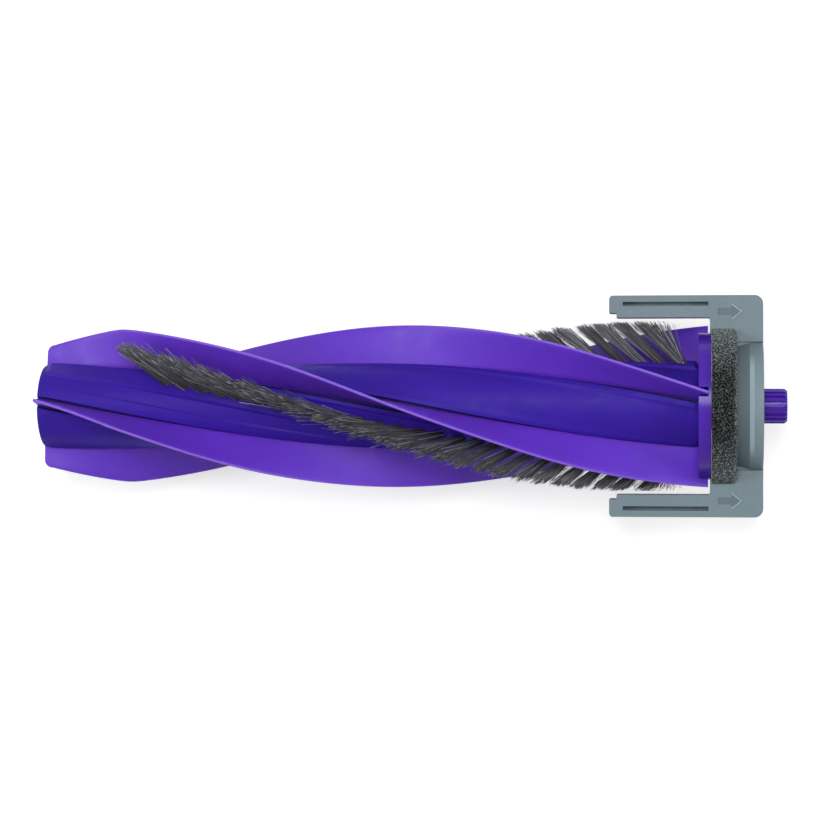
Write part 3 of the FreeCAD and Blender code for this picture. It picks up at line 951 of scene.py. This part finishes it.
@dataclass
class BristleRow:
    """One row of nylon tufts that lean towards the free end, along their helix."""

    helix: Helix
    finish: Finish
    number: int
    tufts: int = 27
    filaments: int = 200
    first: float = 48.9 * MM
    pitch: float = 7.29 * MM
    offset: float = 30.0
    land: float = 16.3 * MM
    depth: float = 1.0 * MM
    rise: float = 14.1 * MM
    lean: float = 48.0
    skew: float = 28.8
    root_half: float = 1.3 * MM
    tip_half: float = 2.4 * MM
    fan: float = 1.45
    core_power: float = 0.85
    core_share: float = 0.9
    tail_power: float = 8.0
    tail_share: float = 0.9
    flare_power: float = 1.3
    shortening: float = 0.13
    curl: float = 2.6 * MM
    comb: float = 1.8 * MM
    stray: float = 13.0 * MM
    stray_power: float = 4.0
    crimp: float = 0.07 * MM
    crimp_turn: float = 21.0
    crimp_shift: float = 6.0
    thickness: float = 0.19 * MM
    taper: float = 0.4
    joints: int = 5

    def grow_tree(self) -> GeometryTree:
        """Tree of the row: one curve for each filament, made a thin three-sided rod.

        Returns:
            The tree with its inputs set.
        """
        tree = GeometryTree(f"bristle_row_{self.number}")
        tufts = tree.size("Tufts", self.tufts, "NodeSocketInt")
        filaments = tree.size("Filaments in a tuft", self.filaments, "NodeSocketInt")
        first = tree.size("First tuft", self.first)
        pitch = tree.size("Tuft pitch", self.pitch)
        lead = tree.size("Helix lead", self.helix.lead)
        phase = tree.size("Row angle", math.radians(self.helix.phase + self.offset + 180.0 * (self.number - 1)))
        land = tree.size("Land height", self.land)
        depth = tree.size("Root depth", self.depth)
        rise = tree.size("Tip rise", self.rise)
        lean = tree.size("Lean", math.tan(math.radians(self.lean)))
        skew = tree.size("Skew", math.tan(math.radians(self.skew)))
        root_half = tree.size("Root half width", self.root_half)
        tip_half = tree.size("Tip half width", self.tip_half)
        thickness = tree.size("Filament thickness", self.thickness)
        index = Field(tree, tree.out("GeometryNodeInputIndex", {}))
        filament = (index / self.joints).floor()
        along = (index % self.joints) / (self.joints - 1.0)
        tuft = (filament / filaments).floor()
        seed = 40 * self.number
        tail = tree.chance(filament, seed + 2) ** self.tail_power * self.tail_share
        spread = tree.chance(filament, seed + 1) ** self.core_power * self.core_share + tail
        around = tree.chance(filament, seed + 3) * (2.0 * math.pi)
        length = tree.chance(filament, seed + 4) * -self.shortening + 1.0
        half = root_half + (tip_half - root_half) * (along ** self.flare_power)
        level = (rise + depth) * along * length - depth
        curl = along * along * self.curl
        bend = (tree.chance(filament, seed + 5) - 0.5) * curl
        drift = (tree.chance(filament, seed + 6) - 0.5) * curl
        comb = (tree.chance(tuft, seed + 7) - 0.5) * self.comb * along
        last = tree.math("GREATER_THAN", tuft, tufts - 1.5)
        stray = last * (tree.chance(filament, seed + 10) ** self.stray_power) * self.stray * along
        turn = along * self.crimp_turn + tree.chance(filament, seed + 8) * self.crimp_shift
        crimp = turn.sine() * self.crimp * along
        x = level * lean * -1.0 + around.cosine() * spread * half * self.fan + bend + comb + stray + crimp
        side = level * skew * -1.0 + around.sine() * spread * half + drift + crimp
        radius = land + level
        slant = level * skew
        height = (radius * radius + slant * slant - side * side) ** 0.5
        station = first + pitch * tuft
        angle = phase + station / lead * (2.0 * math.pi)
        y = height * angle.cosine() - side * angle.sine()
        z = height * angle.sine() + side * angle.cosine()
        place = tree.out("ShaderNodeCombineXYZ", {"X": station + x, "Y": y, "Z": z})
        count = tufts * filaments * float(self.joints)
        dots = tree.out("GeometryNodePoints", {"Count": count, "Position": place})
        dots = tree.mark(dots, "along", along)
        dots = tree.mark(dots, "shade", tree.chance(filament, seed + 9))
        strings = {"Points": dots, "Curve Group ID": filament, "Weight": along}
        curves = tree.out("GeometryNodePointsToCurves", strings)
        taper = along * -self.taper + 1.0
        curves = tree.out("GeometryNodeSetCurveRadius", {"Curve": curves, "Radius": taper})
        ring = tree.out("GeometryNodeCurvePrimitiveCircle", {"Resolution": 3, "Radius": thickness * 0.5})
        sweep = {"Curve": curves, "Profile Curve": ring, "Fill Caps": True}
        tree.close(tree.out("GeometryNodeCurveToMesh", sweep), self.finish)
        return tree

    def build(self) -> None:
        """Grows the row."""
        piece = self.grow_tree().grow(f"bristle_row_{self.number}_filaments")
        piece.data.shade_smooth()
        settle(piece, Body.BRUSH, Slot.BRISTLE_NYLON, self.finish, f"bristle_row_{self.number}")


@dataclass
class DriveEnd:
    """Slotted drum with its journal and splined stub, and the clip behind it."""

    plastic: Finish
    steel: Finish
    hub_round: Rounding = Rounding(0.22 * MM)
    clip_round: Rounding = Rounding(0.12 * MM)

    def build(self) -> None:
        """Builds hub and clip."""
        moulded_piece("drive_hub", "moulding", self.hub_round, Body.BRUSH, Slot.VIOLET_PLASTIC, self.plastic)
        moulded_piece("retaining_clip", "stamping", self.clip_round, Body.BRUSH, Slot.CLIP_STEEL, self.steel)


@dataclass
class Bushes:
    """The idler bush in the free end and the bearing bush in the frame."""

    finish: Finish
    rounding: Rounding = Rounding(0.2 * MM)

    def build(self) -> None:
        """Builds both bushes."""
        for node, body in (("idler_bush", Body.BRUSH), ("bearing_bush", Body.FRAME)):
            moulded_piece(node, "ring", self.rounding, body, Slot.BUSH_POLYMER, self.finish)


@dataclass
class EndFrame:
    """Fork-shaped end frame with a seam along the cap's feet and a ramp-shaped arrow by each arm."""

    finish: Finish
    rounding: Rounding = Rounding(0.35 * MM)
    seat: float = 7.0 * MM
    arrow_tail: float = 251.8 * MM
    arrow_point: float = 260.6 * MM
    arrow_head: float = 3.9 * MM
    arrow_half: float = 3.0 * MM
    shaft_half: float = 1.3 * MM
    arrow_side: float = 34.5 * MM
    tail_sink: float = 0.3 * MM
    point_rise: float = 0.4 * MM
    rim_width: float = 0.4 * MM
    rim_rise: float = 0.04 * MM
    level_band: float = 0.012 * MM
    sliver: float = 0.005 * MM
    facing: float = 0.9
    seam_start: float = 258.5 * MM
    seam_end: float = 268.4 * MM
    seam_side: float = 23.08 * MM
    seam_width: float = 0.4 * MM
    seam_depth: float = 0.7 * MM
    skin: float = 0.6 * MM

    def ramp(self, x: float) -> float:
        """Level of an arrow's face at a place along the axis."""
        share = (x - self.arrow_tail) / (self.arrow_point - self.arrow_tail)
        return self.seat - self.tail_sink + share * (self.tail_sink + self.point_rise)

    def below(self, x: float) -> float:
        """Level under the frame's face, down to which the solids that are added reach."""
        return self.seat - self.skin

    def arrow(self, side: float) -> List[Tool]:
        """One arrow: its sunken tail is cut first, then its raised head and the rim of its point are added.

        Args:
            side: Place of its middle across the fork.

        Returns:
            The three tools.
        """
        neck = self.arrow_point - self.arrow_head
        upper = (
            (self.arrow_tail, self.shaft_half), (neck, self.shaft_half),
            (neck, self.arrow_half), (self.arrow_point, 0.0),
        )
        outline = [(x, side - y) for x, y in upper] + [(x, side + y) for x, y in upper[-2::-1]]
        sunk = prism(outline, self.ramp, lambda x: self.seat + MM)
        raised = prism(outline, self.below, lambda x: self.ramp(x) - self.sliver)
        edge = math.hypot(self.arrow_head, self.arrow_half)
        back, inward = self.rim_width * edge / self.arrow_half, self.rim_width * edge / self.arrow_head
        corners = (
            (neck, -self.arrow_half), (self.arrow_point, 0.0), (neck, self.arrow_half),
            (neck, self.arrow_half - inward), (self.arrow_point - back, 0.0), (neck, inward - self.arrow_half),
        )
        rim = prism([(x, side + y) for x, y in corners], self.below, lambda x: self.ramp(x) + self.rim_rise)
        return [(Change.CUT, sunk), (Change.ADD, raised), (Change.ADD, rim)]

    def seam(self, sign: float) -> Tool:
        """Parting groove beside one foot of the cap.

        Args:
            sign: Sign of the side that it is on.

        Returns:
            The tool that cuts it.
        """
        near, far = sign * self.seam_side, sign * (self.seam_side + self.seam_width)
        start, end = self.seam_start, self.seam_end
        outline = [(start, near), (end, near), (end, far), (start, far)]
        return Change.CUT, prism(outline, lambda x: self.seat - self.seam_depth, lambda x: self.seat + MM)

    def on_arrow(self, face: MeshPolygon, rise: float) -> float:
        """Whether a face lies so far above an arrow's ramp.

        Args:
            face: The face.
            rise: Its height over the ramp.

        Returns:
            1 if it does, or 0.
        """
        x, y, z = face.center
        level = abs(z - self.ramp(x) - rise) < self.level_band and face.normal.z > self.facing
        beside = abs(abs(y) - self.arrow_side) < self.arrow_half
        return float(level and beside and self.arrow_tail < x < self.arrow_point)

    def build(self) -> None:
        """Builds the frame and marks its arrows' faces for painted shade and the rims of their points for a
        painted highlight.
        """
        tools = self.arrow(self.arrow_side) + self.arrow(-self.arrow_side) + [self.seam(1.0), self.seam(-1.0)]
        piece = moulded_copy("end_frame", "end_frame_moulding", self.rounding, tools)
        # Arrow faces are marked for painted shade, and the rims of their points for a painted highlight.
        for key, rise in (("painted_shade", 0.0), ("painted_highlight", self.rim_rise)):
            marks = [self.on_arrow(face, rise) for face in piece.data.polygons]
            piece.data.attributes.new(key, "FLOAT", "FACE").data.foreach_set("value", marks)
        settle(piece, Body.FRAME, Slot.GREY_PLASTIC, self.finish, "end_frame")


@dataclass
class BearingCap:
    """Domed cap over the bearing, with a shallow dish behind a bevelled step to a flatter nose; the dish carries
    painted shade, and the bevel and nose a painted highlight.
    """

    finish: Finish
    start: float = 249.7 * MM
    bevel: float = 263.1 * MM
    nose: float = 264.7 * MM
    end: float = 268.1 * MM
    seat: float = 7.0 * MM
    radius: float = 24.1 * MM
    bore: float = 12.75 * MM
    nose_radius: float = 27.6 * MM
    nose_drop: float = 5.1 * MM
    # Height over which the bevel's painted highlight fades in, and its share on the nose.
    highlight_height: float = 0.8 * MM
    nose_highlight: float = 0.2
    dish_start: float = 258.7 * MM
    dish: float = 1.4 * MM
    # Share of the painted shade in the dish.
    dish_shade: float = 0.55
    edge: float = 0.5 * MM
    edge_steps: int = 5
    soft: float = 0.12 * MM
    sliver: float = 0.01 * MM
    points: int = 97
    bore_points: int = 33
    sharp: float = 32.0

    def outside(self, station: float, angle: np.ndarray) -> np.ndarray:
        """Radius of the dome.

        Args:
            station: Place along the axis.
            angle: Angles from the seat's level, in radians.

        Returns:
            The radii: the dome's, the flatter nose's, or one between them on the bevel.
        """
        across, up = self.nose_drop * np.cos(angle), self.nose_drop * np.sin(angle)
        flatter = np.sqrt(self.nose_radius ** 2 - across ** 2) - up
        share = min(max((station - self.bevel) / (self.nose - self.bevel), 0.0), 1.0)
        rising = (self.bevel - station) / (self.bevel - self.dish_start)
        sunk = self.dish * max(rising, 0.0) if station >= self.dish_start else 0.0
        return self.radius - sunk + share * (np.minimum(flatter, self.radius) - self.radius)

    def build(self) -> None:
        """Builds the cap as an arch over the bearing boss."""
        soft = self.soft
        places = [self.start, self.dish_start - soft, self.dish_start, self.dish_start + soft]
        for corner in (self.bevel, self.nose):
            places += [corner - 2.0 * soft, corner - soft, corner + soft, corner + 2.0 * soft]
        steps = [(x, 0.0) for x in places]
        for turn in np.linspace(0.0, math.pi / 2.0, self.edge_steps):
            steps.append((self.end - self.edge * (1.0 - math.sin(turn)), self.edge * (1.0 - math.cos(turn))))
        low = math.asin(self.seat / self.bore)
        inner = np.linspace(math.pi - low, low, self.bore_points)
        rings = np.empty((len(steps), self.points + len(inner), 3))
        painted_highlight = np.zeros(rings.shape[:2])
        sunk = np.zeros(rings.shape[:2])
        for ring, mark, dark, (x, drop) in zip(rings, painted_highlight, sunk, steps):
            base = math.asin((self.seat + self.sliver) / self.radius)
            outer = np.linspace(base, math.pi - base, self.points)
            radius = np.concatenate((self.outside(x, outer) - drop, np.full_like(inner, self.bore)))
            angle = np.concatenate((outer, inner))
            ring[:, 0] = x
            ring[:, 1] = radius * np.cos(angle)
            ring[:, 2] = np.maximum(radius * np.sin(angle), self.seat)
            # The dish is darkened as painted shade.
            dark[:self.points] = self.dish_shade if self.dish_start < x < self.bevel else 0.0
            # The bevel gets a painted highlight, and the nose a fainter one.
            if x > self.bevel:
                height = self.radius - self.outside(self.nose, outer)
                highlight_share = 1.0 if x < self.nose else self.nose_highlight
                mark[:self.points] = highlight_share * np.clip(height / self.highlight_height, 0.0, 1.0)
        mesh = loft("bearing_cap_moulding", rings, {"painted_highlight": painted_highlight, "painted_shade": sunk})
        shade(mesh, self.sharp)
        piece = add_object("bearing_cap_moulding", mesh)
        settle(piece, Body.FRAME, Slot.GREY_PLASTIC, self.finish, "bearing_cap")


@dataclass
class FoamSeal:
    """Strip of open-cell foam bent over the cap."""

    finish: Finish
    seat: float = 7.05 * MM
    inner: float = 24.2 * MM
    outer: float = 29.2 * MM
    start: float = 249.43 * MM
    end: float = 258.6 * MM
    inner_round: float = 0.4 * MM
    near_round: float = 0.6 * MM
    far_round: float = 2.1 * MM
    round_points: int = 6
    # Tilt range over which the painted sheen grows, and its share on the far rim.
    painted_sheen_start: float = 22.0
    painted_sheen_span: float = 42.0
    rim_sheen_share: float = 0.8
    spacing: float = 0.3 * MM
    cell: float = 1.0 * MM
    pit: float = 0.45 * MM

    def outline(self) -> np.ndarray:
        """Closed outline of the strip's section.

        Returns:
            Its points, as places along the axis and heights.
        """
        corners = (
            (self.start, self.inner, self.inner_round, 180.0), (self.end, self.inner, self.inner_round, 270.0),
            (self.end, self.outer, self.far_round, 0.0), (self.start, self.outer, self.near_round, 90.0),
        )
        x_mid = 0.5 * (self.start + self.end)
        r_mid = 0.5 * (self.inner + self.outer)
        bends: List[Tuple[float, float]] = []
        for x, r, size, begin in corners:
            cx = x + math.copysign(size, x_mid - x)
            cr = r + math.copysign(size, r_mid - r)
            for angle in np.radians(begin + np.linspace(0.0, 90.0, self.round_points)):
                bends.append((cx + size * math.cos(angle), cr + size * math.sin(angle)))
        path = np.array(bends + bends[:1])
        steps = np.linalg.norm(np.diff(path, axis=0), axis=1)
        along = np.concatenate(([0.0], np.cumsum(steps)))
        picks = np.linspace(0.0, along[-1], int(along[-1] / self.spacing), endpoint=False)
        return np.stack((np.interp(picks, along, path[:, 0]), np.interp(picks, along, path[:, 1])), axis=1)

    def build(self) -> None:
        """Builds the strip and sinks its cells."""
        section = self.outline()
        count = int(math.pi * self.outer / self.spacing)
        start = np.arcsin(self.seat / section[:, 1])
        share = np.linspace(0.0, 1.0, count)[:, None]
        angle = start[None, :] + (math.pi - 2.0 * start)[None, :] * share
        radius = np.broadcast_to(section[:, 1], angle.shape)
        x = np.broadcast_to(section[:, 0], angle.shape)
        rings = np.stack((x, radius * np.cos(angle), radius * np.sin(angle)), axis=-1)
        # Tilted flanks and the far rim are marked for painted sheen on the foam.
        tilt = np.degrees(np.abs(angle - math.pi / 2.0))
        rim = np.clip((x - self.end + self.far_round) / self.far_round, 0.0, 1.0) ** 2
        flank = np.maximum(np.clip((tilt - self.painted_sheen_start) / self.painted_sheen_span, 0.0, 1.0), self.rim_sheen_share * rim)
        mesh = loft("foam_seal_strip", rings, {"flank": flank})
        for vertex in mesh.vertices:
            near = noise.voronoi(vertex.co / self.cell)[0]
            hollow = max(0.0, 1.0 - near[0] / max(near[1], 1e-6))
            vertex.co -= vertex.normal * (self.pit * hollow)
            vertex.co.z = max(vertex.co.z, self.seat)
        mesh.shade_smooth()
        piece = add_object("foam_seal_strip", mesh)
        settle(piece, Body.FRAME, Slot.GREY_FOAM, self.finish, "foam_seal")


@dataclass(frozen=True)
class Lamp:
    """One soft area lamp."""

    name: str
    place: Point
    aim: Point
    size: float
    power: float


@dataclass
class Studio:
    """Pale floor, white surround, soft lamps and the camera."""

    floor_height: float = -33.0 * MM
    floor_half: float = 0.9
    camera_place: Point = (0.245, 0.0, 0.950)
    camera_aim: Point = (0.1370, -0.0003, 0.0)
    lens: float = 113.7
    sensor: float = 36.0
    nearest: float = 0.01
    lamps: Tuple[Lamp, ...] = (
        Lamp("key", (0.20, 0.38, 1.45), (0.13, 0.0, 0.0), 0.6, 10.5),
        Lamp("left", (-0.78, 0.05, 0.85), (0.08, 0.0, 0.0), 0.5, 5.0),
        Lamp("side", (0.90, 0.10, 0.50), (0.25, 0.0, 0.0), 0.3, 2.0),
    )
    surround: float = 0.30
    floor_tone: float = 0.6
    floor_glow: float = 0.62

    def shown(self, tree: Tree) -> NodeSocket:
        """Rays that show the background itself, from the camera, off gloss or through glass.

        Args:
            tree: The node tree that asks.

        Returns:
            A socket that is 1 for such a ray, and 0 for one that only lights.
        """
        path = tree.add("ShaderNodeLightPath", {})
        share = path.outputs["Is Camera Ray"]
        for name in ("Is Glossy Ray", "Is Transmission Ray"):
            share = tree.out("ShaderNodeMath", {0: share, 1: path.outputs[name]}, operation="MAXIMUM")
        return share

    def white_surround(self) -> None:
        """World that lights softly and shows white."""
        world = bpy.data.worlds.new("white_surround")
        bpy.context.scene.world = world
        world.use_nodes = True
        tree = Tree(world.node_tree)
        level = {"Value": self.shown(tree), "To Min": self.surround, "To Max": 1.0}
        strength = tree.out("ShaderNodeMapRange", level)
        tree.feed(tree.nodes["Background"], {"Color": (1.0, 1.0, 1.0), "Strength": strength})

    def floor(self) -> None:
        """Pale floor that shows nearly white and keeps the shadow."""
        half = self.floor_half
        mesh = bpy.data.meshes.new("floor")
        corners = [(-half, -half), (half, -half), (half, half), (-half, half)]
        mesh.from_pydata([(x, y, self.floor_height) for x, y in corners], [], [(0, 1, 2, 3)])
        tree = ShaderTree("pale_floor")
        glow = {0: self.shown(tree), 1: self.floor_glow}
        tree.dress({
            "Base Color": (self.floor_tone, self.floor_tone, self.floor_tone),
            "Roughness": 0.9,
            "Specular IOR Level": 0.1,
            "Emission Color": (1.0, 1.0, 1.0),
            "Emission Strength": tree.out("ShaderNodeMath", glow, operation="MULTIPLY"),
        })
        mesh.materials.append(tree.material)
        add_object("floor", mesh)

    def light(self) -> None:
        """Hangs the lamps."""
        for lamp in self.lamps:
            data = bpy.data.lights.new(lamp.name, "AREA")
            data.shape = "DISK"
            data.size = lamp.size
            data.energy = lamp.power
            holder = add_object(lamp.name, data)
            holder.location = lamp.place
            aim = Vector(lamp.aim) - Vector(lamp.place)
            holder.rotation_euler = aim.to_track_quat("-Z", "Y").to_euler()

    def camera(self) -> None:
        """Sets the camera over the drive end, turned towards the middle of the brush."""
        data = bpy.data.cameras.new("camera")
        data.lens = self.lens
        data.sensor_width = self.sensor
        data.clip_start = self.nearest
        holder = add_object("camera", data)
        ahead = (Vector(self.camera_aim) - Vector(self.camera_place)).normalized()
        right = ahead.cross(Vector((0.0, 1.0, 0.0))).normalized()
        above = right.cross(ahead)
        turn = Matrix((right, above, -ahead)).transposed().to_4x4()
        holder.matrix_world = Matrix.Translation(self.camera_place) @ turn
        bpy.context.scene.camera = holder

    def build(self) -> None:
        """Sets up the whole studio."""
        bpy.context.scene.view_settings.view_transform = "Standard"
        self.white_surround()
        self.floor()
        self.light()
        self.camera()


def main() -> None:
    """Builds every sub-assembly and the studio."""
    logging.basicConfig(level=logging.INFO, format="%(name)s: %(message)s")
    helix = Helix()
    rubber, violet, grey = SatinRubber(), GlossPlastic(), TexturedPlastic()
    polished = GlossPlastic("polished_violet_plastic", (0.066, 0.013, 0.370), (0.16, 0.26), 0.2)
    BrushCore(helix, violet).build()
    for number in range(1, 5):
        HelicalBlade(helix, rubber, number).build()
    for number in (1, 2):
        BristleRow(helix, FilamentNylon(), number).build()
    DriveEnd(polished, SpringSteel()).build()
    Bushes(BearingPolymer()).build()
    EndFrame(grey).build()
    BearingCap(grey).build()
    FoamSeal(OpenCellFoam()).build()
    Studio().build()


if __name__ == "__main__":
    main()
